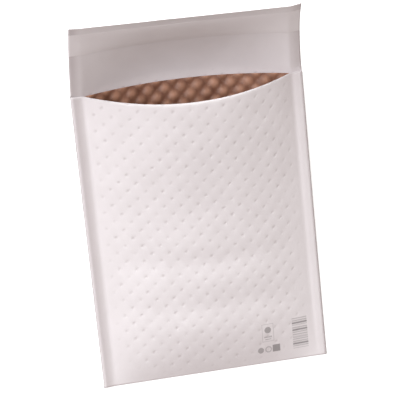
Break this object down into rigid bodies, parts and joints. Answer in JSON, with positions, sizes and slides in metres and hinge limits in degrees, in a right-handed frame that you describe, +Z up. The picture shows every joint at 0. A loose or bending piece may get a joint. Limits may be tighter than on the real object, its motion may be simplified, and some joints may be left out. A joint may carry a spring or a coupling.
{
  "type": "bubble mailer",
  "caption": "Padded paper mailer with an embossed bubble lining, an open mouth and a flap with a peel-off closing strip, lying on its back.",
  "frame": {"origin": "middle of the flat stretch of the back panel, half way between the folded bottom and the mouth, on the surface that it rests on", "axes": "+X across the mailer, +Y from the folded bottom to the mouth and flap, +Z up from the back panel to the front panel"},
  "size_m": [0.1742, 0.2677, 0.0414],
  "materials": {
    "white_kraft": "matte white kraft paper, dimpled by the bubbles behind it",
    "brown_kraft": "brown kraft paper, embossed, slightly satin",
    "hot_melt_glue": "tacky, satin",
    "release_paper": "smooth siliconed paper"
  },
  "bodies": {
    "root": {"outer_envelope": "white_kraft", "bubble_lining": "brown_kraft", "adhesive_strip": "hot_melt_glue", "release_strip": "release_paper"}
  },
  "joints": []
}
